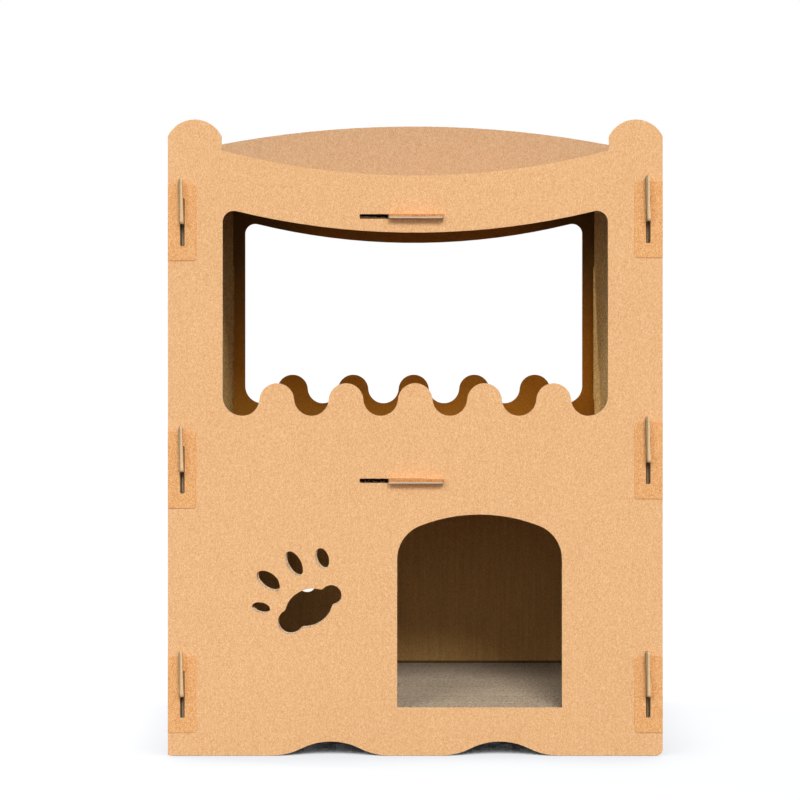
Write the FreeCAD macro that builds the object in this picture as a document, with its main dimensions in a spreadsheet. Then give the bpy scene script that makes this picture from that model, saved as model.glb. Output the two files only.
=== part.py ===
"""Two-storey cat house of corrugated cardboard, in millimetres.

The house stands on z = 0 with its origin under its middle: +X is to the right, +Y goes from the front
to the back and +Z is up. It is boards of one thickness that hook into each other, and scratch pads of
another thickness between them. Front and back are cut alike, but only the front has a door and a paw, and
only the back has a head board and a small round hole. The side panels carry hooks whose lips point up and
go through upright slots. The deck and the middle floor carry hooks whose lips point right and go through
level slots.
"""
import FreeCAD, Part
import math
import os
import re
import Sketcher

SIZES = {
    # boards and fits
    "house_width": 480.0,
    "house_depth": 330.0,
    "board": 4.0,
    "fit_gap": 0.3,
    # top rail, window beam and deck share one sag
    "rail_height": 562.6,
    "sag_radius": 734.0,
    "beam_depth": 55.3,
    "deck_drop": 39.7,
    "deck_overhang": 3.0,
    # posts with round knobs, and the head board behind them
    "post_width": 52.0,
    "knob_rise": 54.4,
    "knob_ease": 2.9,
    "head_rise": 73.8,
    "head_radius": 1155.0,
    # foot of the front and back panels
    "left_foot_radius": 1.5,
    "right_foot_radius": 6.0,
    "arch_offset": 82.0,
    "arch_half": 57.0,
    "arch_height": 13.6,
    # window
    "window_margin": 53.0,
    "window_corner_radius": 11.0,
    "parapet_height": 63.0,
    "wave_height": 31.6,
    "wave_corner_radius": 19.0,
    # door
    "door_centre": 62.4,
    "door_width": 160.0,
    "door_head": 32.6,
    "door_sill_rise": 3.0,
    "door_crown_radius": 158.0,
    "door_shoulder_radius": 35.0,
    # paw cut-out, placed by the middle of its main pad
    "paw_left": 103.3,
    "paw_height": 144.0,
    "paw_long_half": 23.3,
    "paw_short_half": 18.1,
    "paw_blend_radius": 5.2,
    # round hole of the back panel
    "back_hole_left": 118.4,
    "back_hole_height": 129.7,
    "back_hole_radius": 10.0,
    # floors
    "mid_floor_height": 266.4,
    "ground_clearance": 14.4,
    "tongue_width": 40.0,
    "tongue_stand": 3.0,
    # upright slots and the side panels' hooks
    "hook_inset": 14.0,
    "slot_round": 1.5,
    "hook_neck": 24.0,
    "hook_lip": 20.2,
    "hook_slack": 0.2,
    "hook_reach": 8.0,
    "hook_root": 6.0,
    "hook_round": 3.0,
    "lower_slot_top": 82.5,
    "left_middle_rise": 33.8,
    "right_middle_rise": 42.9,
    "left_upper_drop": 22.3,
    "right_upper_drop": 19.4,
    # level slots and the hooks of the deck and the middle floor
    "shelf_slot_right": 8.4,
    "shelf_neck": 33.5,
    "shelf_lip": 20.2,
    "shelf_slack": 7.0,
    # patches round the upright slots
    "patch_thickness": 0.8,
    "patch_width": 27.2,
    "patch_margin": 14.0,
    "patch_round": 3.0,
    # scratch pads
    "pad_thickness": 25.0,
    "pad_side_gap": 1.0,
    "pad_back_gap": 12.0,
    "relief_depth": 12.0,
    "lower_relief_rise": 67.6,
    "upper_relief_drop": 42.2,
}

CREST_COUNT = 5

# where the ground floor's tongues stand, as shares of the house's depth either side of the middle
TONGUE_SHARES = (-0.25, 0.25)

# tilt of the paw's main pad in degrees, its longer axis rising to the right
PAW_TILT = 26
# the paw's lobes as x, y and radius, in shares of its main pad's longer half axis
LOBE_SHARES = ((-0.755, -0.571, 0.523), (0.944, 0.536, 0.430))
# its toes as x, y, longer and shorter half axis, in the same shares, and their tilt in degrees
TOE_SHARES = (
    (-1.989, -0.030, 0.378, 0.223, -12),
    (-1.681, 1.097, 0.558, 0.324, -36),
    (-0.614, 1.807, 0.562, 0.294, -62),
    (0.558, 2.022, 0.438, 0.275, -73),
)

# sizes that follow from the ones above, written as the sheet's expressions
DERIVED = {
    "half_width": "house_width / 2",
    "half_depth": "house_depth / 2",
    "room_half_depth": "half_depth - board",
    "slot_width": "board + 2 * fit_gap",
    # rail, beam and deck
    "post_inner": "half_width - post_width",
    "rail_centre": "rail_height + sag_radius",
    "rail_end": "rail_centre - sqrt(sag_radius ^ 2 - post_inner ^ 2)",
    "deck_height": "rail_height - deck_drop",
    "deck_half": "side_outer + deck_overhang",
    "upper_radius": "sag_radius - board / 2",
    "lower_radius": "sag_radius + board / 2",
    # knobs and head board
    "knob_radius": "post_width / 2 + knob_ease",
    "knob_shoulder": "rail_height + knob_rise - knob_radius + sqrt(knob_radius ^ 2 - post_width ^ 2 / 4)",
    "head_centre": "rail_height + head_rise - head_radius",
    "head_ratio": "head_radius / (head_radius - knob_radius)",
    "head_corner_x": "half_width - knob_radius",
    "head_corner_rise": "sqrt((head_radius - knob_radius) ^ 2 - head_corner_x ^ 2)",
    "arch_radius": "(arch_half ^ 2 + arch_height ^ 2) / (4 * arch_height)",
    # window
    "window_half": "half_width - window_margin",
    "beam_centre": "rail_height - beam_depth + sag_radius",
    "beam_ratio": "sag_radius / (sag_radius + window_corner_radius)",
    "beam_corner_x": "window_half - window_corner_radius",
    "beam_corner_drop": "sqrt((sag_radius + window_corner_radius) ^ 2 - beam_corner_x ^ 2)",
    "trough_height": "mid_floor_height + parapet_height",
    "wave_pitch": f"2 * (window_half - wave_corner_radius) / {CREST_COUNT}",
    "wave_radius": "(wave_pitch ^ 2 / 4 + wave_height ^ 2) / (4 * wave_height)",
    # door
    "sill_height": "ground_top + pad_thickness + door_sill_rise",
    "door_half": "door_width / 2",
    "crown_centre": "mid_floor_height - door_head - door_crown_radius",
    "crown_ratio": "door_crown_radius / (door_crown_radius - door_shoulder_radius)",
    "shoulder_x": "door_half - door_shoulder_radius",
    "shoulder_rise": "sqrt((door_crown_radius - door_shoulder_radius) ^ 2 - shoulder_x ^ 2)",
    # side panels and their hooks
    "side_centre": "half_width - hook_inset",
    "side_inner": "side_centre - board / 2",
    "side_outer": "side_centre + board / 2",
    "side_half_depth": "room_half_depth - fit_gap",
    "side_top": "deck_height + sag_radius - sqrt(lower_radius ^ 2 - side_inner ^ 2) - fit_gap",
    "slot_end_gap": "slot_round - sqrt(slot_round ^ 2 - (slot_round - fit_gap) ^ 2) + fit_gap",
    "slot_length": "hook_neck + hook_lip + hook_slack + 2 * slot_end_gap",
    "lip_back": "half_depth + patch_thickness + fit_gap",
    "lip_front": "lip_back + hook_reach",
    # hooks of the deck and the middle floor
    "shelf_slot_length": "shelf_neck + shelf_lip + shelf_slack + 2 * slot_end_gap",
    "shelf_neck_right": "shelf_slot_right - slot_end_gap",
    "shelf_neck_left": "shelf_neck_right - shelf_neck",
    "shelf_lip_back": "half_depth + fit_gap",
    "shelf_lip_front": "shelf_lip_back + hook_reach",
    # floors and pads
    "ground_top": "ground_clearance + board",
    "mid_bottom": "mid_floor_height - board / 2",
    "mid_top": "mid_floor_height + board / 2",
    "pad_inner": "side_inner - pad_thickness",
    "upper_pad_top": "deck_height + sag_radius - sqrt(lower_radius ^ 2 - pad_inner ^ 2) - fit_gap",
}

# heights of the tops of the upright slots, from the lowest up
SLOT_TOPS = {
    "left": ("lower_slot_top", "mid_floor_height + left_middle_rise", "rail_height - left_upper_drop"),
    "right": ("lower_slot_top", "mid_floor_height + right_middle_rise", "rail_height - right_upper_drop"),
}
SLOT_NAMES = ("lower", "middle", "upper")
SIDES = {"left": -1, "right": 1}
WALLS = {"front": -1, "back": 1}
LEFT_TURN = 1
RIGHT_TURN = -1

doc = FreeCAD.newDocument("cat_house")
sheet = doc.addObject("Spreadsheet::Sheet", "sizes")
for row, (alias, number) in enumerate(SIZES.items(), start=1):
    sheet.set(f"A{row}", str(number))
    sheet.setAlias(f"A{row}", alias)
doc.recompute()


def bound(text):
    """The sheet's expression for a text whose words are sizes or sizes that follow from them."""
    def swap(match):
        word = match.group()
        if word in SIZES:
            return "sizes." + word
        if word in DERIVED:
            return "(" + bound(DERIVED[word]) + ")"
        return word
    return re.sub("[a-z_]+", swap, text)


def value(text):
    """What an expression comes to now."""
    return float(sheet.evalExpression(bound(text)))


def fix(sketch, *rules):
    """Add constraints, each given by its kind, its elements and the expression that it is bound to."""
    numbers = sketch.addConstraint(
        [Sketcher.Constraint(kind, *elements, value(text)) for kind, *elements, text in rules])
    for number, rule in zip(numbers, rules):
        sketch.setExpression(f"Constraints[{number}]", bound(rule[-1]))


def new_body(label):
    body = doc.addObject("PartDesign::Body", label)
    body.Label = label
    return body


def place(body, **texts):
    """Bind the body's place along the named axes."""
    for axis, text in texts.items():
        body.setExpression(f"Placement.Base.{axis}", bound(text))


def new_sketch(body, name, plane):
    sketch = body.newObject("Sketcher::SketchObject", name)
    origin_plane = [item for item in body.Origin.OriginFeatures if item.Role == plane + "_Plane"][0]
    sketch.AttachmentSupport = (origin_plane, [""])
    sketch.MapMode = "FlatFace"
    return sketch


def add_loop(sketch, corners):
    """Draw a closed loop through the corners.

    A corner is (x, y) before a straight edge, or (x, y, radius, turn) before an arc of under half a circle.
    """
    first = sketch.GeometryCount
    spots = [FreeCAD.Vector(value(corner[0]), value(corner[1]), 0) for corner in corners]
    ends = []
    for index, corner in enumerate(corners):
        start = spots[index]
        end = spots[(index + 1) % len(spots)]
        if len(corner) == 2:
            sketch.addGeometry(Part.LineSegment(start, end))
            ends.append((1, 2))
            continue
        radius, turn = value(corner[2]), corner[3]
        chord = end - start
        inward = FreeCAD.Vector(-chord.y, chord.x, 0).normalize() * turn
        centre = (start + end) / 2 + inward * math.sqrt(max(radius ** 2 - chord.Length ** 2 / 4, 0))
        angles = [math.atan2(spot.y - centre.y, spot.x - centre.x) for spot in (start, end)[::turn]]
        circle = Part.Circle(centre, FreeCAD.Vector(0, 0, 1), radius)
        sketch.addGeometry(Part.ArcOfCircle(circle, *angles))
        ends.append((1, 2)[::turn])
    joints = []
    rules = []
    for index, corner in enumerate(corners):
        edge = first + index
        before = first + (index - 1) % len(corners)
        start = ends[index][0]
        joints.append(Sketcher.Constraint("Coincident", before, ends[index - 1][1], edge, start))
        rules.append(("DistanceX", -1, 1, edge, start, corner[0]))
        rules.append(("DistanceY", -1, 1, edge, start, corner[1]))
        if len(corner) > 2:
            rules.append(("Radius", edge, corner[2]))
    sketch.addConstraint(joints)
    fix(sketch, *rules)


def add_circle(sketch, x, y, radius):
    centre = FreeCAD.Vector(value(x), value(y), 0)
    edge = sketch.addGeometry(Part.Circle(centre, FreeCAD.Vector(0, 0, 1), value(radius)))
    fix(sketch, ("DistanceX", -1, 1, edge, 3, x), ("DistanceY", -1, 1, edge, 3, y), ("Radius", edge, radius))


def add_ellipse(sketch, x, y, long_half, short_half, tilt):
    """An ellipse whose long axis is tilted by so many degrees from the sketch's first axis."""
    centre = FreeCAD.Vector(value(x), value(y), 0)
    along = FreeCAD.Vector(math.cos(math.radians(tilt)), math.sin(math.radians(tilt)), 0)
    across = FreeCAD.Vector(-along.y, along.x, 0)
    edge = sketch.addGeometry(
        Part.Ellipse(centre + along * value(long_half), centre + across * value(short_half), centre))
    sketch.exposeInternalGeometry(edge)
    long_axis, short_axis = edge + 1, edge + 2
    fix(
        sketch, ("DistanceX", -1, 1, edge, 3, x), ("DistanceY", -1, 1, edge, 3, y),
        ("Distance", long_axis, f"2 * ({long_half})"), ("Distance", short_axis, f"2 * ({short_half})"))
    sketch.addConstraint(Sketcher.Constraint("Angle", long_axis, math.radians(tilt + 180)))


def rectangle(left, right, low, high):
    return [(left, low), (right, low), (right, high), (left, high)]


def slot_loop(left, right, low, high):
    """A slot with rounded corners."""
    return [
        (left, f"{low} + slot_round", "slot_round", LEFT_TURN),
        (f"{left} + slot_round", low),
        (f"{right} - slot_round", low, "slot_round", LEFT_TURN),
        (right, f"{low} + slot_round"),
        (right, f"{high} - slot_round", "slot_round", LEFT_TURN),
        (f"{right} - slot_round", high),
        (f"{left} + slot_round", high, "slot_round", LEFT_TURN),
        (left, f"{high} - slot_round"),
    ]


def pad(body, name, plane, loop, length):
    """A pad on both sides of one of the body's own planes."""
    sketch = new_sketch(body, name + "_outline", plane)
    add_loop(sketch, loop)
    feature = body.newObject("PartDesign::Pad", name)
    feature.Profile = sketch
    feature.SideType = "Symmetric"
    feature.setExpression("Length", bound(length))
    doc.recompute()
    return feature


def pocket(body, name, plane, draw):
    """A pocket right through the body, drawn by a function that is given the sketch."""
    before = body.Shape.Volume
    sketch = new_sketch(body, name + "_outline", plane)
    draw(sketch)
    feature = body.newObject("PartDesign::Pocket", name)
    feature.Profile = sketch
    feature.Type = "ThroughAll"
    feature.SideType = "Symmetric"
    doc.recompute()
    if body.Shape.Volume >= before:
        raise RuntimeError(f"{body.Label}: {name} cuts nothing")
    return feature


def pocket_loop(body, name, plane, loop):
    return pocket(body, name, plane, lambda sketch: add_loop(sketch, loop))


def arch_corners(centre):
    """One of the foot's low arches: two flanks and a crown of one radius."""
    return [
        (f"{centre} - arch_half", "0", "arch_radius", LEFT_TURN),
        (f"{centre} - arch_half / 2", "arch_height / 2", "arch_radius", RIGHT_TURN),
        (f"{centre} + arch_half / 2", "arch_height / 2", "arch_radius", LEFT_TURN),
        (f"{centre} + arch_half", "0"),
    ]


def foot_corners():
    """From the left foot's corner to the right one's."""
    return [
        ("-half_width", "left_foot_radius", "left_foot_radius", LEFT_TURN),
        ("-half_width + left_foot_radius", "0"),
        *arch_corners("-arch_offset"),
        *arch_corners("arch_offset"),
        ("half_width - right_foot_radius", "0", "right_foot_radius", LEFT_TURN),
        ("half_width", "right_foot_radius"),
    ]


def front_outline():
    """Two posts with round knobs and a hollow rail between them."""
    return foot_corners() + [
        ("half_width", "knob_shoulder", "knob_radius", LEFT_TURN),
        ("post_inner", "knob_shoulder"),
        ("post_inner", "rail_end", "sag_radius", RIGHT_TURN),
        ("-post_inner", "rail_end"),
        ("-post_inner", "knob_shoulder", "knob_radius", LEFT_TURN),
        ("-half_width", "knob_shoulder"),
    ]


def back_outline():
    """An arched head board that turns down into the posts."""
    corner_height = "head_centre + head_corner_rise"
    crown_x = "head_corner_x * head_ratio"
    crown_height = "head_centre + head_corner_rise * head_ratio"
    return foot_corners() + [
        ("half_width", corner_height, "knob_radius", LEFT_TURN),
        (crown_x, crown_height, "head_radius", LEFT_TURN),
        ("-" + crown_x, crown_height, "knob_radius", LEFT_TURN),
        ("-half_width", corner_height),
    ]


def window_loop():
    """A sagging beam above, upright sides, and a row of waves below."""
    middle = "trough_height + wave_height / 2"
    corners = [
        ("-window_half", "trough_height + wave_corner_radius", "wave_corner_radius", LEFT_TURN),
        ("-window_half + wave_corner_radius", "trough_height", "wave_radius", LEFT_TURN),
    ]
    for index in range(CREST_COUNT):
        crest = f"(-window_half + wave_corner_radius + {index} * wave_pitch + wave_pitch / 2)"
        corners.append((f"{crest} - wave_pitch / 4", middle, "wave_radius", RIGHT_TURN))
        corners.append((f"{crest} + wave_pitch / 4", middle, "wave_radius", LEFT_TURN))
    beam_x = "beam_corner_x * beam_ratio"
    beam_height = "beam_centre - beam_corner_drop * beam_ratio"
    corner_height = "beam_centre - beam_corner_drop"
    corners += [
        ("window_half - wave_corner_radius", "trough_height", "wave_corner_radius", LEFT_TURN),
        ("window_half", "trough_height + wave_corner_radius"),
        ("window_half", corner_height, "window_corner_radius", LEFT_TURN),
        (beam_x, beam_height, "sag_radius", RIGHT_TURN),
        ("-" + beam_x, beam_height, "window_corner_radius", LEFT_TURN),
        ("-window_half", corner_height),
    ]
    return corners


def door_loop():
    """A flat sill, upright sides and a flattened arch of three arcs."""
    shoulder_height = "crown_centre + shoulder_rise"
    crown_x = "shoulder_x * crown_ratio"
    crown_height = "crown_centre + shoulder_rise * crown_ratio"
    return [
        ("door_centre - door_half", "sill_height"),
        ("door_centre + door_half", "sill_height"),
        ("door_centre + door_half", shoulder_height, "door_shoulder_radius", LEFT_TURN),
        (f"door_centre + {crown_x}", crown_height, "door_crown_radius", LEFT_TURN),
        (f"door_centre - {crown_x}", crown_height, "door_shoulder_radius", LEFT_TURN),
        ("door_centre - door_half", shoulder_height),
    ]


def upright_slot(side, top):
    centre = f"{SIDES[side]} * side_centre"
    return slot_loop(
        f"{centre} - slot_width / 2", f"{centre} + slot_width / 2", f"{top} - slot_length", top)


def level_slot(height):
    return slot_loop(
        "shelf_slot_right - shelf_slot_length", "shelf_slot_right",
        f"{height} - slot_width / 2", f"{height} + slot_width / 2")


def lobe_edges(body):
    """The edges through the board where the outlines of the paw's lobes cross its main pad's."""
    tilt = math.radians(PAW_TILT)
    long_half = value("paw_long_half")
    short_half = value("paw_short_half")
    tolerance = value("fit_gap")
    found = []
    for number, edge in enumerate(body.Shape.Edges, start=1):
        x = edge.CenterOfMass.x + value("paw_left")
        y = edge.CenterOfMass.z - value("paw_height")
        along = x * math.cos(tilt) + y * math.sin(tilt)
        across = y * math.cos(tilt) - x * math.sin(tilt)
        off_pad = abs(math.hypot(along / long_half, across / short_half) - 1) * short_half
        off_lobe = min(
            abs(math.hypot(x - lobe_x * long_half, y - lobe_y * long_half) - radius * long_half)
            for lobe_x, lobe_y, radius in LOBE_SHARES)
        width = max(edge.BoundBox.XLength, edge.BoundBox.ZLength)
        if max(width, off_pad, off_lobe) < tolerance:
            found.append(f"Edge{number}")
    if len(found) < 2 * len(LOBE_SHARES):
        raise RuntimeError(f"{body.Label}: {len(found)} edges found where the paw's lobes meet its main pad")
    return found


def cut_paw(body):
    """A paw of one main pad with two lobes, blended into it, and four toes."""
    def draw_main_pad_and_toes(sketch):
        add_ellipse(sketch, "-paw_left", "paw_height", "paw_long_half", "paw_short_half", PAW_TILT)
        for x, y, long_half, short_half, tilt in TOE_SHARES:
            add_ellipse(
                sketch, f"{x} * paw_long_half - paw_left", f"{y} * paw_long_half + paw_height",
                f"{long_half} * paw_long_half", f"{short_half} * paw_long_half", tilt)

    pocket(body, "paw", "XZ", draw_main_pad_and_toes)
    for x, y, radius in LOBE_SHARES:
        pocket(body, "paw_lobe", "XZ", lambda sketch: add_circle(
            sketch, f"{x} * paw_long_half - paw_left", f"{y} * paw_long_half + paw_height",
            f"{radius} * paw_long_half"))
    cut = body.Tip
    blend = body.newObject("PartDesign::Fillet", "paw_blend")
    blend.Base = (cut, lobe_edges(body))
    blend.setExpression("Radius", bound("paw_blend_radius"))
    doc.recompute()


def wall_panel(wall):
    """The front or back board, flush with the house's outer depth."""
    body = new_body(f"{wall}_panel")
    place(body, y=f"{WALLS[wall]} * (half_depth - board / 2)")
    outline = front_outline() if wall == "front" else back_outline()
    pad(body, "plate", "XZ", outline, "board")
    pocket_loop(body, "window", "XZ", window_loop())
    if wall == "front":
        pocket_loop(body, "door", "XZ", door_loop())
    slots = [upright_slot(side, top) for side, tops in SLOT_TOPS.items() for top in tops]
    slots += [level_slot("deck_height"), level_slot("mid_floor_height")]
    for slot in slots:
        pocket_loop(body, "hook_slot", "XZ", slot)
    if wall == "front":
        cut_paw(body)
    else:
        pocket(body, "round_hole", "XZ", lambda sketch: add_circle(
            sketch, "-back_hole_left", "back_hole_height", "back_hole_radius"))
    return body


def hook_corners(wall, top):
    """A side panel's hook: a neck through the wall and a lip that rises in front of it."""
    sign = WALLS[wall]
    neck_top = f"({top} - slot_end_gap)"
    neck_low = f"({top} - slot_end_gap - hook_neck)"
    lip_top = f"({top} - slot_end_gap + hook_lip)"
    root = f"{sign} * (side_half_depth - hook_root)"
    back = f"{sign} * lip_back"
    front = f"{sign} * lip_front"
    eased = f"{sign} * (lip_front - hook_round)"
    turn = LEFT_TURN if sign > 0 else RIGHT_TURN
    return [
        (root, neck_low),
        (eased, neck_low, "hook_round", turn),
        (front, f"{neck_low} + hook_round"),
        (front, f"{lip_top} - hook_round", "hook_round", turn),
        (eased, lip_top),
        (f"{sign} * (lip_back + hook_round)", lip_top, "hook_round", turn),
        (back, f"{lip_top} - hook_round"),
        (back, neck_top),
        (root, neck_top),
    ]


def side_panel(side):
    """A plain board with three hooks at each end and slots for the ground floor's tongues."""
    body = new_body(f"{side}_side_panel")
    place(body, x=f"{SIDES[side]} * side_centre")
    pad(body, "plate", "YZ", rectangle("-side_half_depth", "side_half_depth", "0", "side_top"), "board")
    for wall in WALLS:
        for top in SLOT_TOPS[side]:
            pad(body, "hook", "YZ", hook_corners(wall, top), "board")
    for share in TONGUE_SHARES:
        centre = f"{share} * house_depth"
        pocket_loop(body, "tongue_slot", "YZ", rectangle(
            f"{centre} - tongue_width / 2 - fit_gap", f"{centre} + tongue_width / 2 + fit_gap",
            "ground_clearance - fit_gap", "ground_top + fit_gap"))
    return body


def shelf_hook_corners(wall):
    """A shelf's hook, seen from above: a neck through the wall and a lip that points right."""
    sign = WALLS[wall]
    root = f"{sign} * (room_half_depth - hook_root)"
    back = f"{sign} * shelf_lip_back"
    front = f"{sign} * shelf_lip_front"
    eased = f"{sign} * (shelf_lip_front - hook_round)"
    lip_right = "(shelf_neck_right + shelf_lip)"
    turn = RIGHT_TURN if sign > 0 else LEFT_TURN
    return [
        ("shelf_neck_left", root),
        ("shelf_neck_left", eased, "hook_round", turn),
        ("shelf_neck_left + hook_round", front),
        (f"{lip_right} - hook_round", front, "hook_round", turn),
        (lip_right, eased),
        (lip_right, f"{sign} * (shelf_lip_back + hook_round)", "hook_round", turn),
        (f"{lip_right} - hook_round", back),
        ("shelf_neck_right", back),
        ("shelf_neck_right", root),
    ]


def add_shelf_hooks(body):
    for wall in WALLS:
        pad(body, "hook", "XY", shelf_hook_corners(wall), "board")


def roof_deck():
    """A board bent to the rail's sag. Its flat hooks are level with its lowest line."""
    body = new_body("roof_deck")
    place(body, z="deck_height")
    # the ends lie on straight lines to the centre of the sag
    upper_x = "deck_half * upper_radius / sag_radius"
    lower_x = "deck_half * lower_radius / sag_radius"
    rise_share = "sqrt(sag_radius ^ 2 - deck_half ^ 2) / sag_radius"
    upper_height = f"sag_radius - upper_radius * {rise_share}"
    lower_height = f"sag_radius - lower_radius * {rise_share}"
    strip = [
        ("-" + lower_x, lower_height, "lower_radius", LEFT_TURN),
        (lower_x, lower_height),
        (upper_x, upper_height, "upper_radius", RIGHT_TURN),
        ("-" + upper_x, upper_height),
    ]
    pad(body, "plate", "XZ", strip, "2 * room_half_depth")
    add_shelf_hooks(body)
    return body


def mid_floor():
    body = new_body("mid_floor")
    place(body, z="mid_floor_height")
    plate = rectangle("-side_inner + fit_gap", "side_inner - fit_gap", "-room_half_depth", "room_half_depth")
    pad(body, "plate", "XY", plate, "board")
    add_shelf_hooks(body)
    return body


def ground_floor():
    """A board above the ground whose tongues pass through the side panels."""
    body = new_body("ground_floor")
    place(body, z="ground_clearance + board / 2")
    plate = rectangle("-side_inner", "side_inner", "-side_half_depth", "side_half_depth")
    pad(body, "plate", "XY", plate, "board")
    tip = "(side_outer + tongue_stand)"
    for share in TONGUE_SHARES:
        centre = f"{share} * house_depth"
        pad(body, "tongues", "XY", rectangle(
            "-" + tip, tip, f"{centre} - tongue_width / 2", f"{centre} + tongue_width / 2"), "board")
    return body


def floor_scratch_pad():
    """A loose pad between the lower pads, with a gap behind it."""
    body = new_body("floor_scratch_pad")
    place(body, z="ground_top + pad_thickness / 2")
    half = "(pad_inner - pad_side_gap)"
    pad(body, "block", "XY", rectangle(
        f"-{half}", half, "-side_half_depth", "room_half_depth - pad_back_gap"), "pad_thickness")
    return body


def lower_pad(side):
    """A pad against the side panel, from the ground floor up to the middle floor, which lies on it."""
    body = new_body(f"{side}_lower_pad")
    place(body, x=f"{SIDES[side]} * (side_inner - pad_thickness / 2)")
    pad(body, "block", "YZ", rectangle(
        "-side_half_depth", "side_half_depth", "ground_top", "mid_bottom - fit_gap"), "pad_thickness")
    return body


def upper_pad(side):
    """A pad on the middle floor, under the deck, cut back beside the hooks at its ends."""
    body = new_body(f"{side}_upper_pad")
    place(body, x=f"{SIDES[side]} * (pad_inner + (pad_thickness - fit_gap) / 2)")
    end = "room_half_depth"
    cut = "(room_half_depth - relief_depth)"
    lower = "mid_floor_height + lower_relief_rise"
    upper = "deck_height - upper_relief_drop"
    pad(body, "block", "YZ", [
        (f"-{cut}", "mid_top"), (cut, "mid_top"), (cut, lower), (end, lower),
        (end, upper), (cut, upper), (cut, "upper_pad_top"), (f"-{cut}", "upper_pad_top"),
        (f"-{cut}", upper), (f"-{end}", upper), (f"-{end}", lower), (f"-{cut}", lower),
    ], "pad_thickness - fit_gap")
    return body


def patch(wall, side, level):
    """A thin patch round one upright slot, on the wall's outer face, with its inner corners rounded."""
    body = new_body(f"{wall}_patch_{side}_{SLOT_NAMES[level]}")
    place(body, y=f"{WALLS[wall]} * (half_depth + patch_thickness / 2)")
    top = SLOT_TOPS[side][level]
    sign = SIDES[side]
    outer = f"{sign} * half_width"
    inner = f"{sign} * (half_width - patch_width)"
    eased = f"{sign} * (half_width - patch_width + patch_round)"
    low = f"{top} - slot_length - patch_margin"
    high = f"{top} + patch_margin"
    turn = LEFT_TURN if sign > 0 else RIGHT_TURN
    outline = [
        (outer, low), (outer, high),
        (eased, high, "patch_round", turn), (inner, f"{high} - patch_round"),
        (inner, f"{low} + patch_round", "patch_round", turn), (eased, low),
    ]
    pad(body, "plate", "XZ", outline, "patch_thickness")
    pocket_loop(body, "hook_slot", "XZ", upright_slot(side, top))
    return body


bodies = [wall_panel(wall) for wall in WALLS]
bodies += [side_panel(side) for side in SIDES]
bodies += [roof_deck(), mid_floor(), ground_floor(), floor_scratch_pad()]
bodies += [lower_pad(side) for side in SIDES]
bodies += [upper_pad(side) for side in SIDES]
bodies += [patch(wall, side, level) for wall in WALLS for side in SIDES for level in range(len(SLOT_NAMES))]

doc.recompute()
for item in doc.Objects:
    if "Invalid" in item.State or "Error" in item.State:
        raise RuntimeError(f"{item.Label} failed: {item.State}")
os.makedirs("parts", exist_ok=True)
for body in bodies:
    shape = body.Shape
    if shape.isNull() or not shape.isValid() or len(shape.Solids) != 1:
        raise RuntimeError(f"{body.Label} is not one valid solid")
    shape.exportStep(f"parts/{body.Label}.step")
    box = shape.BoundBox
    print(f"{body.Label}: {shape.Volume / 1000:.1f} cm3, x {box.XMin:.1f} to {box.XMax:.1f}, "
          f"y {box.YMin:.1f} to {box.YMax:.1f}, z {box.ZMin:.1f} to {box.ZMax:.1f}")
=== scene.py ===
"""Looks of the cardboard cat house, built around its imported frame. All lengths are in metres."""

import collections
import math

import bmesh
import bpy
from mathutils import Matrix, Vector


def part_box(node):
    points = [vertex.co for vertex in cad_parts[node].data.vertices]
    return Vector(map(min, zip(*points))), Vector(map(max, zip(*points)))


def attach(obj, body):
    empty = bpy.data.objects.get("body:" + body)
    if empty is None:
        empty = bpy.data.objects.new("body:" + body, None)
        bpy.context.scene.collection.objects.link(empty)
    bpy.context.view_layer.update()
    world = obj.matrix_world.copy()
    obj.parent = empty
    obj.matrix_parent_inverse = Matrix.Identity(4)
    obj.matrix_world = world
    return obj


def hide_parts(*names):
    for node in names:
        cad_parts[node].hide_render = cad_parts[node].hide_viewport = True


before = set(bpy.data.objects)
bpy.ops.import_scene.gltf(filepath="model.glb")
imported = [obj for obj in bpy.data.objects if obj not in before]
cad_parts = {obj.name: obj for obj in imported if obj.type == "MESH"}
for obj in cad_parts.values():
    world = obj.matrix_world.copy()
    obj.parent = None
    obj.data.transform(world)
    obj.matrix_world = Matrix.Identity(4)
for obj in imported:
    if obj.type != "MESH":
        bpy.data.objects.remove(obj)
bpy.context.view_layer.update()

MM = 0.001
AXIS = {"x": 0, "y": 1, "z": 2}

# Corrugated board: its whole thickness, its two liners and the wavy sheet between them
BOARD = 4.0 * MM
LINER = 0.3 * MM
MEDIUM = 0.24 * MM
FLUTE_PITCH = 7.5 * MM
FLUTE_STEPS = 12
# the crests of the flutes sink this far into the liners
FLUTE_BITE = 0.02 * MM

# The deck's middle sheet lies on this circle in the plane of x and z
DECK_CENTRE_Z = 1256.9 * MM
DECK_RADIUS = 734.0 * MM
DECK_STEP = 4.0 * MM

# The two rooms
LOWER_ROOM_Z = (30.0 * MM, 266.0 * MM)
UPPER_ROOM_Z = (266.0 * MM, 640.0 * MM)
ROOM_HALF_WIDTH = 226.0 * MM
ROOM_HALF_DEPTH = 161.0 * MM
ROOM_SLACK = 1.0 * MM


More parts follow.
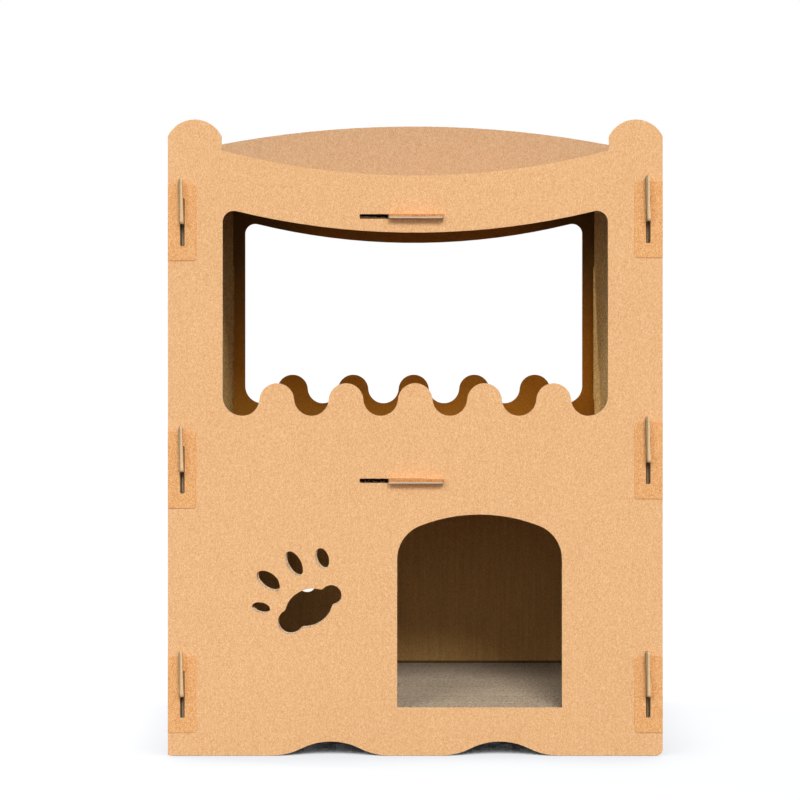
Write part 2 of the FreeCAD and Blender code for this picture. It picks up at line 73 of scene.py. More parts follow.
# Node trees
class Tree:
    """A small helper that adds nodes to a tree. Every input may be a number, a tuple or a socket."""

    def __init__(self, tree):
        self.tree = tree
        tree.nodes.clear()

    def put(self, item, socket):
        if isinstance(item, bpy.types.NodeSocket):
            self.tree.links.new(item, socket)
        else:
            socket.default_value = item

    def add(self, kind, inputs=(), **settings):
        node = self.tree.nodes.new(kind)
        for key, setting in settings.items():
            setattr(node, key, setting)
        pairs = inputs.items() if isinstance(inputs, dict) else enumerate(inputs)
        for key, item in pairs:
            self.put(item, node.inputs[key])
        return node

    def maths(self, operation, *inputs):
        return self.add("ShaderNodeMath", inputs, operation=operation).outputs[0]

    def both(self, first, *more):
        """Numbers multiplied together, so that shares of 0 and 1 give where all of them hold."""
        for value in more:
            first = self.maths("MULTIPLY", first, value)
        return first

    def split(self, place):
        """The three sockets x, y and z."""
        return list(self.add("ShaderNodeSeparateXYZ", [place]).outputs)

    def stretched(self, place, along, share):
        """The place with one axis shrunk, so that a texture runs longer that way."""
        factors = [share if axis == along else 1.0 for axis in "xyz"]
        return self.add("ShaderNodeVectorMath", [place, factors], operation="MULTIPLY").outputs[0]

    def noise(self, place, scale, detail=1.0, roughness=0.5):
        inputs = {"Vector": place, "Scale": scale, "Detail": detail, "Roughness": roughness}
        return self.add("ShaderNodeTexNoise", inputs).outputs["Fac"]

    def span(self, value, low, high, to_low=0.0, to_high=1.0, kind="LINEAR"):
        inputs = [value, low, high, to_low, to_high]
        return self.add("ShaderNodeMapRange", inputs, interpolation_type=kind).outputs[0]

    def smooth(self, value, low, high, to_low=0.0, to_high=1.0):
        return self.span(value, low, high, to_low, to_high, "SMOOTHSTEP")

    def within(self, value, centre, half):
        """1 where the value is nearer to the centre than half, and 0 elsewhere."""
        near = self.maths("ABSOLUTE", self.maths("SUBTRACT", value, centre))
        return self.maths("LESS_THAN", near, half)

    def blend(self, share, first, second, kind="MIX"):
        node = self.add("ShaderNodeMix", data_type="RGBA", blend_type=kind)
        for index, item in ((0, share), (6, first), (7, second)):
            self.put(item, node.inputs[index])
        return node.outputs[2]

    def tinted(self, first, second):
        """One colour multiplied by another."""
        return self.blend(1.0, first, second, "MULTIPLY")

    def grey(self, value):
        return self.add("ShaderNodeCombineColor", [value, value, value]).outputs[0]


def colour(red, green, blue):
    """A colour written in the 0 to 255 steps of a screen, as the linear values that shaders take."""
    return (*[((step / 255 + 0.055) / 1.055) ** 2.4 for step in (red, green, blue)], 1.0)


def times(tint, factor):
    return [min(level * factor, 1.0) for level in tint[:3]] + [1.0]


# Kraft paper. Noise lies between 0 and 1, and most of it in this range
NOISE_MOST = (0.3, 0.7)
# the grain: its strength, and how much of it each of red, green and blue takes
GRAIN_DEPTH = 0.30
GRAIN_SHARES = (0.64, 1.36, 2.0)
GRAIN_RANGE = (0.25, 0.75)
GRAIN_SCALE = 1500.0
GRAIN_STRETCH = 0.65
GRAIN_ROUGHNESS = 0.6
FIBRE_STRETCH = 0.25
FIBRE_SHARE = 0.25
# the flutes show through as fine lines and bumps, and the liner has slow streaks along them
LINE_DEPTH = 0.010
LINE_HEIGHT = 0.35
STREAK_DEPTH = 0.06
STREAK_SCALE = 240.0
STREAK_STRETCH = 0.03
CLOUD_SCALE = 9.0
CLOUD_LEVELS = (0.99, 1.01)
BUMP_STRENGTH = 0.35
BUMP_DISTANCE = 0.12 * MM
PAPER_GLOSS = 0.18


def grain(tree, place, along, streak, depth=GRAIN_DEPTH):
    """The unevenness of kraft paper: a multiplier of its colour, and the height for its bump."""
    fine = tree.stretched(place, along, GRAIN_STRETCH)
    fine = tree.noise(fine, GRAIN_SCALE, 1.0, GRAIN_ROUGHNESS)
    fibres = tree.stretched(place, along, FIBRE_STRETCH)
    fibres = tree.noise(fibres, GRAIN_SCALE, 2.0, GRAIN_ROUGHNESS)
    fine_part = tree.maths("MULTIPLY", fine, 1.0 - FIBRE_SHARE)
    mixed = tree.maths("ADD", fine_part, tree.maths("MULTIPLY", fibres, FIBRE_SHARE))
    dark = [1.0 - depth * share for share in GRAIN_SHARES] + [1.0]
    pale = [1.0 + depth * share for share in GRAIN_SHARES] + [1.0]
    shade = tree.blend(tree.span(mixed, *GRAIN_RANGE), dark, pale)

    x, y, z = tree.split(place)
    across = y if along == "x" else x
    wave = tree.maths("SINE", tree.maths("MULTIPLY", across, 2 * math.pi / FLUTE_PITCH))
    slow = tree.noise(tree.stretched(place, along, STREAK_STRETCH), STREAK_SCALE, 2.0)
    slow = tree.span(slow, *NOISE_MOST, -STREAK_DEPTH * streak, STREAK_DEPTH * streak)
    clouds = tree.span(tree.noise(place, CLOUD_SCALE, 2.0), *NOISE_MOST, *CLOUD_LEVELS)
    lines = tree.maths("ADD", tree.maths("MULTIPLY", wave, LINE_DEPTH * streak), slow)
    shade = tree.tinted(shade, tree.grey(tree.maths("ADD", clouds, lines)))
    height = tree.maths("ADD", mixed, tree.maths("MULTIPLY", wave, LINE_HEIGHT * streak))
    return shade, height


def material(name, build):
    """A matt material, for which build gives the colour, the height and the roughness."""
    made = bpy.data.materials.new(name)
    made.use_nodes = True
    tree = Tree(made.node_tree)
    place = tree.add("ShaderNodeTexCoord").outputs["Object"]
    tint, height, roughness = build(tree, place)
    bump = {"Strength": BUMP_STRENGTH, "Distance": BUMP_DISTANCE, "Height": height}
    normal = tree.add("ShaderNodeBump", bump).outputs[0]
    paper = {"Base Color": tint, "Roughness": roughness, "Normal": normal}
    paper["Specular IOR Level"] = PAPER_GLOSS
    shader = tree.add("ShaderNodeBsdfPrincipled", paper)
    tree.add("ShaderNodeOutputMaterial", [shader.outputs[0]])
    return made


# The liners' colours inside the rooms, as multipliers that paint shade and light. The upper room is
# painted darker and less orange towards its top, as shade under the deck, and there less dark towards its
# middle
ROOM_FADE_Z = (350.0 * MM, 515.0 * MM)
ROOM_MIDDLE_X = (90.0 * MM, 175.0 * MM)
ROOM_FLOOR = (0.95, 0.85, 0.6, 1.0)
ROOM_LOW = (0.9, 0.62, 0.12, 1.0)
ROOM_HIGH = (0.31, 0.28, 0.16, 1.0)
ROOM_MIDDLE = (0.62, 0.5, 0.2, 1.0)
# the lower room is painted paler, as light, and streaked, and painted dark as shade down in the gap behind
# the floor pad
LOWER_ROOM = (1.5, 1.32, 0.78, 1.0)
PRESSED_SCALE = 500.0
PRESSED_LEVELS = (0.93, 1.07)
CREVICE_Z = (42.5 * MM, 45.5 * MM)
CREVICE_PAINTED_SHADE = 0.2

# Cut edges: the torn paper of the flutes, from its darkest to its palest, and its roughness
TORN_SCALE = 700.0
TORN_RANGE = (0.35, 0.65)
TORN_LEVELS = (0.72, 1.22)
TORN_ROUGHNESS = (0.78, 0.92)
# the liner's colour gives way to the cut one at these depths under a face
FACE_DEPTH = (0.10 * MM, 0.02 * MM)
# painted shade: boards that butt against the front and back panels are painted darkest in this band of
# their ends, as shade in the joints and slots
BUTT_PAINTED_SHADE = colour(125, 112, 88)
BUTT_CENTRE = 160.2 * MM
BUTT_HALF = 1.0 * MM
# the lips of the upright hooks start at this distance from the middle of the house
LIP_BACK = 165.4 * MM
# painted shade and light: across its thickness each lip is painted grey on its left part and beige on the
# rest, as if lit from the right
LIP_SHADED_GREY = colour(160, 140, 106)
LIP_LIT_BEIGE = colour(232, 196, 150)
LIP_FADE = (-1.6 * MM, -0.6 * MM)
# the level hooks' ends are pale grey below this height over their middle sheet
TAB_GREY = colour(206, 188, 164)
TAB_GREY_BELOW = -0.6 * MM


def deck_radius_at(tree, place):
    """The distance from the axis that the deck is curved about."""
    x, y, z = tree.split(place)
    rise = tree.maths("SUBTRACT", z, DECK_CENTRE_Z)
    flat = tree.add("ShaderNodeCombineXYZ", [x, 0.0, rise]).outputs[0]
    return tree.add("ShaderNodeVectorMath", [flat], operation="LENGTH").outputs["Value"]


def from_middle(tree, place, kind, middle):
    """How far a point lies from the board's middle sheet: below 0 on the low side, above 0 on the high."""
    if kind == "deck":
        return tree.maths("SUBTRACT", DECK_RADIUS, deck_radius_at(tree, place))
    return tree.maths("SUBTRACT", tree.split(place)[AXIS[kind]], middle)


def in_room(tree, place, floor_z, ceiling_z):
    """1 between the panels and the two heights, under the deck, and 0 outside."""
    x, y, z = tree.split(place)
    wide = tree.within(x, 0.0, ROOM_HALF_WIDTH)
    deep = tree.within(y, 0.0, ROOM_HALF_DEPTH + ROOM_SLACK)
    under = tree.maths("GREATER_THAN", deck_radius_at(tree, place), DECK_RADIUS)
    level = tree.within(z, (floor_z + ceiling_z) / 2, (ceiling_z - floor_z) / 2)
    return tree.both(wide, deep, under, level)


def room_painted_shade_and_light(tree, place, board, liner):
    """The liner's colour, with painted shade and light inside the two rooms."""
    x, y, z = tree.split(place)
    low = ROOM_FLOOR if board.kind == "z" else ROOM_LOW
    aside = tree.smooth(tree.maths("ABSOLUTE", x), *ROOM_MIDDLE_X)
    high = tree.blend(aside, ROOM_MIDDLE, ROOM_HIGH)
    above = tree.tinted(liner, tree.blend(tree.smooth(z, *ROOM_FADE_Z), low, high))

    pressed = tree.stretched(place, board.along, STREAK_STRETCH)
    pressed = tree.span(tree.noise(pressed, PRESSED_SCALE, 2.0), *NOISE_MOST, *PRESSED_LEVELS)
    # painted shade down in the gap behind the floor pad
    crevice = tree.smooth(z, *CREVICE_Z, CREVICE_PAINTED_SHADE, 1.0)
    below = tree.tinted(tree.grey(tree.maths("MULTIPLY", pressed, crevice)), LOWER_ROOM)
    below = tree.tinted(liner, below)

    liner = tree.blend(in_room(tree, place, *LOWER_ROOM_Z), liner, below)
    return tree.blend(in_room(tree, place, *UPPER_ROOM_Z), liner, above)


def board_material(name, board, middle):
    """Kraft liner on both faces, and the paler, rougher paper of the cut edges and of the flutes."""

    def build(tree, place):
        offset = from_middle(tree, place, board.kind, middle)
        liner = tree.blend(tree.maths("GREATER_THAN", offset, 0.0), *board.faces)
        liner = room_painted_shade_and_light(tree, place, board, liner)
        shade, height = grain(tree, place, board.along, board.streak)
        face = tree.tinted(liner, shade)

        torn = tree.noise(place, TORN_SCALE, 2.0, 0.7)
        raw = [times(board.raw, level) for level in TORN_LEVELS]
        cut = tree.blend(tree.span(torn, *TORN_RANGE), *raw)
        away = tree.maths("ABSOLUTE", tree.split(place)[AXIS["y"]])
        if board.hooks == "level":
            low = tree.maths("LESS_THAN", offset, TAB_GREY_BELOW)
            hook = tree.maths("GREATER_THAN", away, ROOM_HALF_DEPTH + ROOM_SLACK)
            cut = tree.blend(tree.both(low, hook), cut, TAB_GREY)

        off = tree.maths("ABSOLUTE", offset)
        on_face = tree.span(off, *[BOARD / 2 - depth for depth in FACE_DEPTH])
        tint = tree.blend(on_face, cut, face)
        if board.hooks == "upright":
            # painted shade on the lips' left part and painted light on the rest
            lip = tree.maths("GREATER_THAN", away, LIP_BACK)
            paint = tree.blend(tree.span(offset, *LIP_FADE), LIP_SHADED_GREY, LIP_LIT_BEIGE)
            tint = tree.blend(lip, tint, tree.tinted(paint, shade))
        if board.hooks:
            # painted shade at the ends that butt against the front and back panels
            tint = tree.blend(tree.within(away, BUTT_CENTRE, BUTT_HALF), tint, BUTT_PAINTED_SHADE)
        return tint, height, tree.span(torn, *NOISE_MOST, *TORN_ROUGHNESS)

    return material(name, build)


# Meshes
def object_of(name, mesh):
    made = bpy.data.objects.new(name, mesh)
    bpy.context.scene.collection.objects.link(made)
    return made


def outward(mesh, merge=None):
    """Makes the faces look outward, after joining points that lie in the same place."""
    work = bmesh.new()
    work.from_mesh(mesh)
    if merge:
        bmesh.ops.remove_doubles(work, verts=work.verts, dist=merge)
    bmesh.ops.recalc_face_normals(work, faces=work.faces)
    work.to_mesh(mesh)
    work.free()
    return mesh


class Strips:
    """Collects closed strips in one mesh.

    place turns a point along, across and up a strip into x, y and z.
    """

    def __init__(self, place):
        self.place = place
        self.points = []
        self.faces = []

    def run(self, pairs, low, high):
        """Adds one strip: pairs of its left and right points, drawn out from low to high."""
        start = len(self.points)
        for left, right in pairs:
            self.points += [self.place(*left, low), self.place(*right, low)]
            self.points += [self.place(*left, high), self.place(*right, high)]
        for i in range(len(pairs) - 1):
            a = start + 4 * i
            b = a + 4
            self.faces += [(a, b, b + 1, a + 1), (a + 2, a + 3, b + 3, b + 2)]
            self.faces += [(a, a + 2, b + 2, b), (a + 1, b + 1, b + 3, a + 3)]
        last = start + 4 * (len(pairs) - 1)
        self.faces.append((start, start + 1, start + 3, start + 2))
        self.faces.append((last, last + 2, last + 3, last + 1))

    def mesh(self, name):
        made = bpy.data.meshes.new(name)
        made.from_pydata(self.points, [], self.faces)
        return outward(made)


def intersection(name, first, second):
    """The mesh that two closed meshes share."""
    base, tool = object_of(name, first), object_of(name + "_tool", second)
    cut = base.modifiers.new("cut", "BOOLEAN")
    cut.operation, cut.solver, cut.object = "INTERSECT", "EXACT", tool
    bpy.context.view_layer.update()
    shown = base.evaluated_get(bpy.context.evaluated_depsgraph_get())
    result = bpy.data.meshes.new_from_object(shown)
    for extra in (base, tool):
        bpy.data.objects.remove(extra)
    return result


def sheet(low, high, step, inner, outer):
    """Pairs of points of a flat sheet, which runs in steps so that it can follow a curved board."""
    count = max(1, round((high - low) / step))
    stops = [low + (high - low) * i / count for i in range(count + 1)]
    return [((s, inner), (s, outer)) for s in stops]


def flutes(low, high, swing, thick, pitch, steps, shift=0.0):
    """Pairs of points on both sides of a wavy sheet."""
    count = max(1, round((high - low) / pitch * steps))
    pairs = []
    for i in range(count + 1):
        s = low + (high - low) * i / count
        angle = 2 * math.pi * s / pitch + shift
        t = swing * math.sin(angle)
        slope = swing * 2 * math.pi / pitch * math.cos(angle)
        length = math.hypot(1.0, slope)
        ds, dt = -slope / length * thick / 2, 1.0 / length * thick / 2
        pairs.append(((s - ds, t - dt), (s + ds, t + dt)))
    return pairs


# Corrugated boards are cut from blanks that reach this far past the solids and over their faces
PAST_END = 12.0 * MM
PAST_FACE = 3.0 * MM
SAME_POINT = 0.001 * MM


def board_place(node, kind, along, across):
    """Turns a point across, over and along a board into x, y and z."""

    def on_deck(s, t, h):
        angle = s / DECK_RADIUS
        radius = DECK_RADIUS - t
        return (radius * math.sin(angle), h, DECK_CENTRE_Z - radius * math.cos(angle))

    def on_flat(s, t, h):
        point = [0.0, 0.0, 0.0]
        point[AXIS[across]], point[AXIS[kind]], point[AXIS[along]] = s, middle + t, h
        return tuple(point)

    if kind == "deck":
        return on_deck
    low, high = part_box(node)
    middle = (low[AXIS[kind]] + high[AXIS[kind]]) / 2
    return on_flat


def blanks_of(node, board):
    """The uncut liners and flutes of a board, and solid blanks where it has hooks."""
    low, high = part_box(node)
    over = "z" if board.kind == "deck" else board.kind
    across = next(axis for axis in "xyz" if axis not in (over, board.along))
    run = [low[AXIS[board.along]] - PAST_END, high[AXIS[board.along]] + PAST_END]
    width = [low[AXIS[across]] - PAST_END, high[AXIS[across]] + PAST_END]
    step = DECK_STEP if board.kind == "deck" else width[1] - width[0]
    place = board_place(node, board.kind, board.along, across)
    half = BOARD / 2

    room = [-ROOM_HALF_DEPTH, ROOM_HALF_DEPTH]
    inner_run = room if board.hooks and board.along == "y" else run
    inner_width = room if board.hooks and across == "y" else width
    liners, wave = Strips(place), Strips(place)
    for sign in (-1, 1):
        faces = sign * (half - LINER), sign * (half + PAST_FACE)
        liners.run(sheet(*inner_width, step, *faces), *inner_run)
    swing = half - LINER - MEDIUM / 2 + FLUTE_BITE
    wave.run(flutes(*inner_width, swing, MEDIUM, FLUTE_PITCH, FLUTE_STEPS), *inner_run)
    blanks = {"liners": liners, "flutes": wave}

    if board.hooks:
        reach = high[AXIS["y"]] + PAST_END
        blanks["hooks"] = Strips(place)
        for part in ([-reach, room[0]], [room[1], reach]):
            outer_run, outer_width = (part, width) if board.along == "y" else (run, part)
            thick = sheet(*outer_width, step, -half - PAST_FACE, half + PAST_FACE)
            blanks["hooks"].run(thick, *outer_run)
    return blanks


def corrugate(node, board):
    """Rebuilds a board from two liners and a fluted sheet, cut to the outline of its CAD solid.

    Its hooks, which are crushed where they pass the slots, are solid.
    """
    outline = outward(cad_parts[node].data.copy(), merge=SAME_POINT)
    work = bmesh.new()
    for label, strips in blanks_of(node, board).items():
        name = f"{node}_{label}"
        work.from_mesh(intersection(name, outline.copy(), strips.mesh(name + "_blank")))
    mesh = bpy.data.meshes.new(node + "_board")
    work.to_mesh(mesh)
    work.free()
    made = object_of(node + "_board", mesh)
    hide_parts(node)
    return made


def dress(piece, finish, body):
    piece.data.materials.clear()
    piece.data.materials.append(finish)
    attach(piece, body)


FRONT = colour(237, 185, 132)
INNER = colour(197, 163, 127)
SIDE = colour(226, 178, 130)
SHELF = colour(223, 170, 118)
RAW_FRONT = colour(226, 196, 162)
RAW_SIDE = colour(205, 172, 138)
RAW_SHELF = colour(214, 146, 86)

# kind is the axis of the thickness, or the deck's curve, and along is the axis of the flutes. faces are
# the colours on the low and the high side, raw is the cut edges' one, streak is how much the flutes show
Board = collections.namedtuple("Board", "body slot kind along faces raw streak hooks")
BOARDS = {
    "front_panel": Board("shell", "front_board", "y", "z", (FRONT, INNER), RAW_FRONT, 0.1, None),
    "back_panel": Board("shell", "back_board", "y", "z", (INNER, FRONT), RAW_FRONT, 0.25, None),
    "left_side_panel": Board("base", "side_board", "x", "z", (SIDE, INNER), RAW_SIDE, 0.2, "upright"),
    "right_side_panel": Board("base", "side_board", "x", "z", (INNER, SIDE), RAW_SIDE, 0.2, "upright"),
    "roof_deck": Board("shell", "shelf_board", "deck", "y", (SHELF, SHELF), RAW_SHELF, 0.2, "level"),
    "mid_floor": Board("shell", "shelf_board", "z", "y", (SHELF, SHELF), RAW_SHELF, 0.4, "level"),
    "ground_floor": Board("base", "shelf_board", "z", "y", (SHELF, SHELF), RAW_SHELF, 0.4, None),
}
boards = {}
for node, board in BOARDS.items():
    if board.kind == "deck":
        middle = DECK_RADIUS
    else:
        middle = sum(corner[AXIS[board.kind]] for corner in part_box(node)) / 2
    boards[node] = corrugate(node, board)
    dress(boards[node], board_material(node + "_kraft", board, middle), board.body)

# The front hooks are crushed thinner towards their left face, from this distance on
HOOK_THIN = 0.93
HOOK_START = ROOM_HALF_DEPTH + 0.1 * MM
HOOK_EDGE = ROOM_HALF_DEPTH + 0.2 * MM
# their lips start here. They thin and lean left with height
LIP_FOOT = 165.8 * MM
LIP_TAPER = 0.06
LIP_LEAN = 1.2 * MM
LIP_SLACK = 1.0 * MM
# their tops are rounded: edges this far below the top, and the top's share of the thickness
LIP_ROUND = (0.5 * MM, 1.1 * MM, 1.9 * MM)
LIP_TOP_SHARE = 0.6
# points further apart in height than this belong to two lips
LIP_GAP = 60.0 * MM
# under each neck the slot stays open, and there dark blocks on the side panel's edge fill it as painted
# shade
SHADE_BLOCK_LENGTH = 22.3 * MM
SHADE_BLOCK_WIDTH = 1.0 * MM
SHADE_BLOCK_DEPTH = 1.8 * MM


def lips(node):
    """The lowest and highest height of each front lip of a side panel."""
    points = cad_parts[node].data.vertices
    heights = sorted(point.co.z for point in points if point.co.y < -LIP_FOOT)
    feet = [i for i, z in enumerate(heights) if i == 0 or z - heights[i - 1] > LIP_GAP]
    ends = [i - 1 for i in feet[1:]] + [len(heights) - 1]
    return [(heights[i], heights[j]) for i, j in zip(feet, ends)]


def cut_across(work, verts, point, normal):
    """Adds edges where a plane crosses the faces of some points, without parting them."""
    faces = {face for vert in verts for face in vert.link_faces}
    edges = {edge for face in faces for edge in face.edges}
    corners = {vert for face in faces for vert in face.verts}
    geometry = [*corners, *edges, *faces]
    bmesh.ops.bisect_plane(work, geom=geometry, plane_co=point, plane_no=normal)


def shape_lip(point, left, foot, top):
    """Thins and leans a lip with height, and rounds it near its top."""
    share = (point.z - foot) / (top - foot)
    drop = max(0.0, top - point.z)
    point.x = left + (point.x - left) * (1.0 - LIP_TAPER * share)
    if drop < LIP_ROUND[-1]:
        middle = left + BOARD / 2 * HOOK_THIN * (1.0 - LIP_TAPER)
        pinch = math.sqrt(1.0 - (1.0 - drop / LIP_ROUND[-1]) ** 2)
        point.x = middle + (point.x - middle) * max(LIP_TOP_SHARE, pinch)
    point.x -= LIP_LEAN * share


def add_edges(work, node):
    """Adds the edges that the front hooks bend at."""
    for distance in (HOOK_EDGE, LIP_FOOT):
        outside = [vert for vert in work.verts if vert.co.y < -ROOM_HALF_DEPTH]
        cut_across(work, outside, (0.0, -distance, 0.0), (0.0, 1.0, 0.0))
    for foot, top in lips(node):
        for drop in LIP_ROUND:
            near = [vert for vert in work.verts
                    if vert.co.y < -LIP_FOOT and foot < vert.co.z < top + LIP_SLACK]
            cut_across(work, near, (0.0, 0.0, top - drop), (0.0, 0.0, 1.0))


def shade_block_mesh(node, side, outer):
    """Dark blocks on a side panel's edges that stand in for the shade where the slots stay open under its
    necks.
    """
    shade_blocks = Strips(lambda x, y, z: (x, y, z))
    for foot, top in lips(node):
        for wall in (-1, 1):
            ends = wall * (ROOM_HALF_DEPTH - SHADE_BLOCK_DEPTH), wall * ROOM_HALF_DEPTH
            near = [(side, y) for y in ends]
            far = [(side + outer * SHADE_BLOCK_WIDTH, y) for y in ends]
            shade_blocks.run([near, far], foot - SHADE_BLOCK_LENGTH, foot)
    return shade_blocks.mesh(node + "_burrs")


def finish_hooks(made, node, outer):
    """outer is -1 or +1, the side of the house that the panel stands on."""
    low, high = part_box(node)
    left = low[AXIS["x"]]
    work = bmesh.new()
    work.from_mesh(made.data)
    add_edges(work, node)
    for vert in work.verts:
        if vert.co.y < -HOOK_START:
            vert.co.x = left + (vert.co.x - left) * HOOK_THIN
            for foot, top in lips(node):
                if vert.co.y < -LIP_FOOT and foot - LIP_SLACK < vert.co.z < top + LIP_SLACK:
                    shape_lip(vert.co, left, foot, top)
    side = high[AXIS["x"]] if outer > 0 else left
    # dark blocks that stand in for the shade in the open slots
    work.from_mesh(shade_block_mesh(node, side, outer))
    work.to_mesh(made.data)
    work.free()


for side, outer in (("left", -1), ("right", 1)):
    finish_hooks(boards[f"{side}_side_panel"], f"{side}_side_panel", outer)

# The die cut the paw aslant, so that its left and lower walls show. An area is its low and its high
# corner in x and z
PAW_AREA = ((-158.0 * MM, 105.0 * MM), (-62.0 * MM, 205.0 * MM))
MAIN_PAD_AREA = ((-134.5 * MM, 105.0 * MM), (-62.0 * MM, 168.5 * MM))
NOWHERE = ((0.0, 0.0), (0.0, 0.0))
# an area, the part of it that stays, and how far its edges move in x and z on the face and on the back
PAW_SLANTS = (
    (PAW_AREA, MAIN_PAD_AREA, (0.0, 0.0), (1.6 * MM, 1.2 * MM)),
    (MAIN_PAD_AREA, NOWHERE, (-0.3 * MM, -1.2 * MM), (0.3 * MM, 0.4 * MM)),
)


def in_area(area, point):
    low, high = area
    return low[0] < point.x < high[0] and low[1] < point.z < high[1]


def slant_paw(made):
    """Moves the edges of the paw's holes in the front panel."""
    low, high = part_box("front_panel")
    front_y, back_y = low[AXIS["y"]], high[AXIS["y"]]
    for vert in made.data.vertices:
        depth = (vert.co.y - front_y) / (back_y - front_y)
        for area, spared, face, back in PAW_SLANTS:
            if in_area(area, vert.co) and not in_area(spared, vert.co):
                vert.co.x += face[0] + (back[0] - face[0]) * depth
                vert.co.z += face[1] + (back[1] - face[1]) * depth


slant_paw(boards["front_panel"])

# Scratch pads: layers of corrugated strips on edge
PAD_LAYER = 4.0 * MM
PAD_PITCH = 8.0 * MM
PAD_STEPS = 4
PAD_LINER = 0.45 * MM
PAD_MEDIUM = 0.4 * MM
PAD_BITE = 0.05 * MM
# the scratched ends of liners and flutes are worn down by up to this much
LINER_WEAR = 0.5 * MM
FLUTE_WEAR = 0.8 * MM
# the upper pads are cut away over and under these heights, this far from the panels
RELIEF_Z = (334.0 * MM, 480.7 * MM)
RELIEF_DEPTH = 12.1 * MM
# a fixed spread of numbers between 0 and 1, and the shares of a row that give its flutes' shift and wear
WOBBLE_STEP = 12.9898
WOBBLE_SPREAD = 43758.5453
SHIFT_SHARE = 0.37
WEAR_OFFSET = 0.5


def wobble(i):
    """A fixed number between 0 and 1 that differs from row to row."""
    return (math.sin(i * WOBBLE_STEP) * WOBBLE_SPREAD) % 1.0


def scratch_pad(name, node, rows, waves, depth, face, relief=None):
    """Rows are stacked along one axis, waves run along another, and the third is their depth.

    face is +1 or -1, the end of the third axis that is scratched.
    """
    low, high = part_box(node)
    r, w, d = AXIS[rows], AXIS[waves], AXIS[depth]
    count = int((high[r] - low[r]) // PAD_LAYER)
    layer = (high[r] - low[r]) / count

    def place(s, t, h):
        point = [0.0, 0.0, 0.0]
        point[w], point[r], point[d] = s, t, h
        return tuple(point)

    def worn(amount):
        return (low[d], high[d] - amount) if face > 0 else (low[d] + amount, high[d])

    strips = Strips(place)
    for i in range(count):
        base = low[r] + layer * i
        near_end = min(base + layer - low[r], high[r] - base)
        ends = relief if relief and near_end <= RELIEF_DEPTH else (low[w], high[w])
        liner_run = worn(LINER_WEAR * wobble(i))
        strips.run([((s, base), (s, base + PAD_LINER)) for s in ends], *liner_run)
        inside = layer - PAD_LINER
        if i == count - 1:
            last = base + layer
            strips.run([((s, last - PAD_LINER), (s, last)) for s in ends], *liner_run)
            inside -= PAD_LINER
        centre = base + PAD_LINER + inside / 2
        swing = inside / 2 - PAD_MEDIUM / 2 + PAD_BITE
        wave = flutes(ends[0] + PAD_MEDIUM, ends[1] - PAD_MEDIUM, swing, PAD_MEDIUM,
                      PAD_PITCH, PAD_STEPS, 2 * math.pi * wobble(i * SHIFT_SHARE))
        raised = [((a[0], a[1] + centre), (b[0], b[1] + centre)) for a, b in wave]
        strips.run(raised, *worn(FLUTE_WEAR * wobble(i + WEAR_OFFSET)))
    pad = object_of(name, strips.mesh(name))
    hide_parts(node)
    return pad


PAD_SPECKLE_SCALE = 480.0
PAD_SPECKLES = (0.42, 0.66, 0.0, 0.8)
PAD_ROUGHNESS = (0.8, 0.95)


def pad_material(name, base, speckle):
    def build(tree, place):
        shade, height = grain(tree, place, "z", 0.0)
        torn = tree.noise(place, PAD_SPECKLE_SCALE, 2.0, 0.7)
        tint = tree.blend(tree.span(torn, *PAD_SPECKLES), base, speckle)
        return tree.tinted(tint, shade), height, tree.span(torn, *NOISE_MOST, *PAD_ROUGHNESS)

    return material(name, build)


PAD_BEIGE = pad_material("floor_pad_paper", colour(200, 180, 155), colour(158, 142, 122))
# one pad paper in two copies: the left pads painted darker as shade, the right pads paler and more golden
# as painted light
PAD_SHADED = pad_material("left_pad_paper", colour(196, 160, 98), colour(112, 94, 60))
PAD_LIT = pad_material("right_pad_paper", colour(250, 220, 152), colour(166, 141, 92))
floor_pad = scratch_pad("floor_pad_flutes", "floor_scratch_pad", "y", "x", "z", 1)
dress(floor_pad, PAD_BEIGE, "scratch_pad")
for side, facing, paper in (("left", 1, PAD_SHADED), ("right", -1, PAD_LIT)):
    for level, body, relief in (("upper", "shell", RELIEF_Z), ("lower", "base", None)):
        node = f"{side}_{level}_pad"
        pad = scratch_pad(node + "_flutes", node, "y", "z", "x", facing, relief)
        dress(pad, paper, body)

# Patches
PATCH = colour(235, 175, 115)
PATCH_GRAIN_DEPTH = 0.46
PATCH_STREAK = 0.3
PATCH_GLOSS_SCALE = 700.0
PATCH_ROUGHNESS = (0.75, 0.9)


def patch_build(tree, place):
    shade, height = grain(tree, place, "z", PATCH_STREAK, PATCH_GRAIN_DEPTH)
    uneven = tree.noise(place, PATCH_GLOSS_SCALE)
    return tree.tinted(PATCH, shade), height, tree.span(uneven, *NOISE_MOST, *PATCH_ROUGHNESS)


PATCH_PAPER = material("patch_paper", patch_build)
for name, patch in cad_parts.items():
    if "_patch_" in name:
        patch.data.materials.clear()
        patch.data.materials.append(PATCH_PAPER)


# Camera: straight in front of the house, a little left of its middle
CAMERA_PLACE = (-0.0119, -2.437, 0.4273)
LENS = 105.4
SENSOR_WIDTH = 36.0
LENS_SHIFT = (-0.00375, -0.10625)

camera = object_of("camera", bpy.data.cameras.new("camera"))
camera.location = CAMERA_PLACE
camera.rotation_euler = (math.pi / 2, 0.0, 0.0)
camera.data.lens = LENS
camera.data.sensor_width = SENSOR_WIDTH
camera.data.shift_x, camera.data.shift_y = LENS_SHIFT
bpy.context.scene.camera = camera

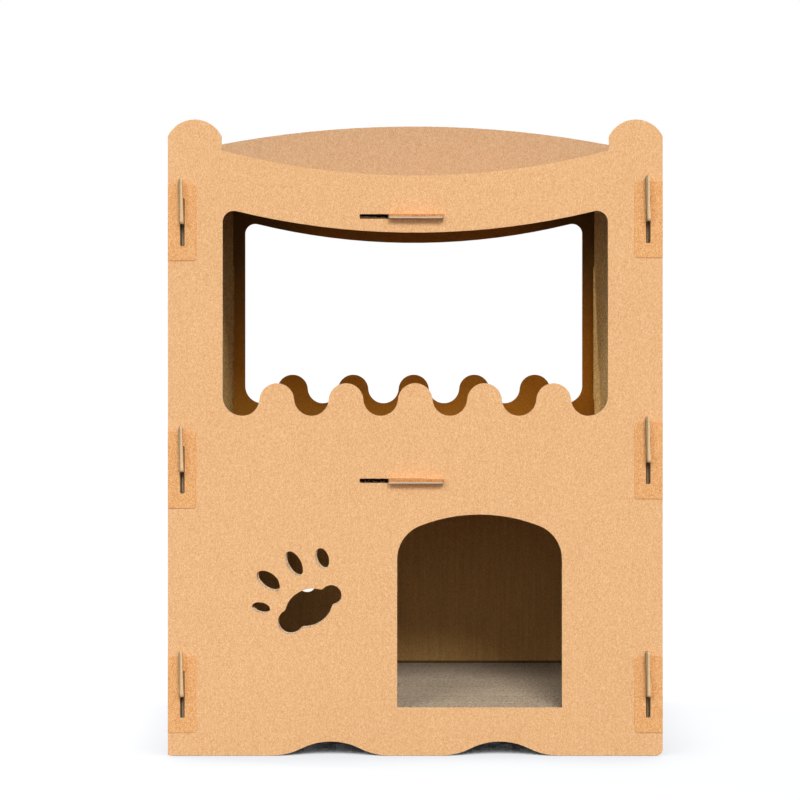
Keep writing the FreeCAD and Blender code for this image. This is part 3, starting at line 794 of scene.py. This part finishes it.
# Lamps: where each comes from (degrees round from the front, degrees up), strength, and size in degrees
LAMPS = {
    "key": (10.0, 34.0, 1.63, 20.0),
    "fill": (-30.0, 32.0, 0.66, 24.0),
    "back_left": (250.0, 32.0, 2.7, 6.0),
    "back": (180.0, 20.0, 0.8, 30.0),
}
for name, (turned, up, strength, size) in LAMPS.items():
    lamp = bpy.data.lights.new(name, "SUN")
    lamp.energy = strength
    lamp.angle = math.radians(size)
    turn, rise = math.radians(turned), math.radians(up)
    flat = math.cos(rise)
    towards = Vector((math.sin(turn) * flat, -math.cos(turn) * flat, math.sin(rise)))
    object_of(name, lamp).rotation_euler = towards.to_track_quat("Z", "Y").to_euler()


def seen_rays(tree):
    """1 for the rays that show the background: those of the camera, of gloss and of glass."""
    rays = tree.add("ShaderNodeLightPath").outputs
    some = tree.maths("MAXIMUM", rays["Is Camera Ray"], rays["Is Glossy Ray"])
    return tree.maths("MAXIMUM", some, rays["Is Transmission Ray"])


# World: white where it is seen. Its light is strongest at the horizon and weakest overhead
WHITE = (1.0, 1.0, 1.0, 1.0)
HORIZON = 1.0
ZENITH = 0.1

world = bpy.data.worlds.new("studio")
bpy.context.scene.world = world
world.use_nodes = True
sky = Tree(world.node_tree)
up = sky.split(sky.add("ShaderNodeTexCoord").outputs["Generated"])[AXIS["z"]]
ambient = sky.add("ShaderNodeBackground", [WHITE, sky.span(up, 0.0, 1.0, HORIZON, ZENITH)])
white = sky.add("ShaderNodeBackground", [WHITE, 1.0])
mixed = sky.add("ShaderNodeMixShader", [seen_rays(sky), ambient.outputs[0], white.outputs[0]])
sky.add("ShaderNodeOutputWorld", [mixed.outputs[0]])

# Floor: it glows white where it is seen, and less where the object keeps the sky from it
FLOOR_HALF = 30.0
FLOOR_Z = -0.4 * MM
FLOOR_PALE = (0.16, 0.16, 0.17, 1.0)
FLOOR_SEEN = (0.05, 0.05, 0.055, 1.0)
FLOOR_GLOW = (0.97, 0.98, 1.0, 1.0)
OPEN_REACH = 110.0 * MM
# from which openness to which the glow rises, and how far: close to the object, and further out
NEAR_RISE = (0.045, 0.17, 0.0, 0.82)
FAR_RISE = (0.45, 0.95, 0.0, 0.16)

square = ((-1, -1), (1, -1), (1, 1), (-1, 1))
corners = [(x * FLOOR_HALF, y * FLOOR_HALF, FLOOR_Z) for x, y in square]
floor_mesh = bpy.data.meshes.new("floor")
floor_mesh.from_pydata(corners, [], [(0, 1, 2, 3)])
floor = object_of("floor", floor_mesh)
floor_paint = bpy.data.materials.new("floor")
floor_paint.use_nodes = True
paint = Tree(floor_paint.node_tree)
seen = seen_rays(paint)
matt = paint.add("ShaderNodeBsdfDiffuse", [paint.blend(seen, FLOOR_PALE, FLOOR_SEEN)])
openness = paint.add("ShaderNodeAmbientOcclusion", {"Distance": OPEN_REACH}).outputs["AO"]
rises = [paint.smooth(openness, *rise) for rise in (NEAR_RISE, FAR_RISE)]
level = paint.maths("ADD", *rises)
glow = paint.add("ShaderNodeEmission", [FLOOR_GLOW, paint.maths("MULTIPLY", seen, level)])
lifted = paint.add("ShaderNodeAddShader", [matt.outputs[0], glow.outputs[0]])
paint.add("ShaderNodeOutputMaterial", [lifted.outputs[0]])
floor.data.materials.append(floor_paint)

bpy.context.scene.view_settings.view_transform = "Standard"
